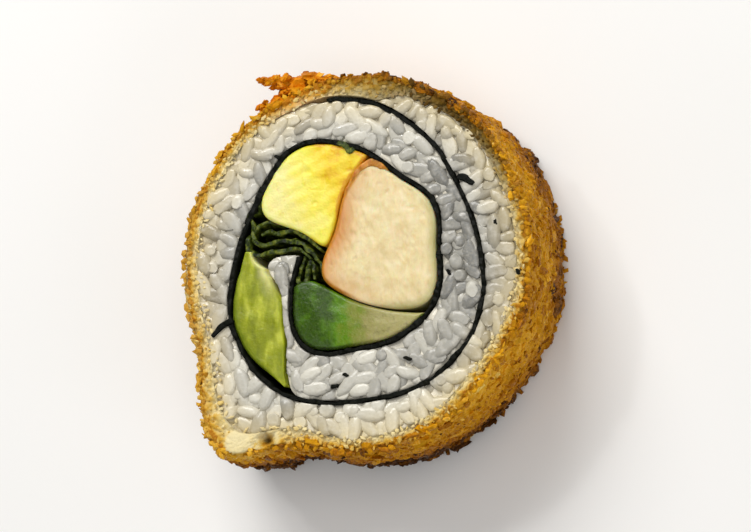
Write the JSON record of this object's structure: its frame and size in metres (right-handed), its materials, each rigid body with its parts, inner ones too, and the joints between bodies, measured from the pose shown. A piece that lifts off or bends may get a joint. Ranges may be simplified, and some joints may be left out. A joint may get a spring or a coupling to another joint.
{
  "type": "piece of fried sushi roll",
  "caption": "Slice of a crumbed and deep-fried sushi roll lying on its cut face, with spiral seaweed and rice round crab stick, omelette, cucumber, avocado and lettuce.",
  "frame": {"origin": "middle of the lower cut face, which lies on the plate", "axes": "+Z up out of the upper cut face, +X to the right and +Y up as the cut face is seen in the picture"},
  "size_m": [0.0542, 0.0584, 0.0225],
  "materials": {
    "fried_crumb": "matte",
    "sushi_rice": "satin",
    "seaweed": "satin",
    "crab_stick_flesh": "satin",
    "egg_omelette": "satin",
    "cucumber_flesh": "gloss",
    "avocado_flesh": "satin",
    "leaf": "satin"
  },
  "bodies": {
    "root": {"crumb_coat": "fried_crumb", "rice": "sushi_rice", "nori": "seaweed", "crab_stick": "crab_stick_flesh", "omelette": "egg_omelette", "cucumber": "cucumber_flesh", "avocado": "avocado_flesh", "lettuce": "leaf"}
  },
  "joints": []
}
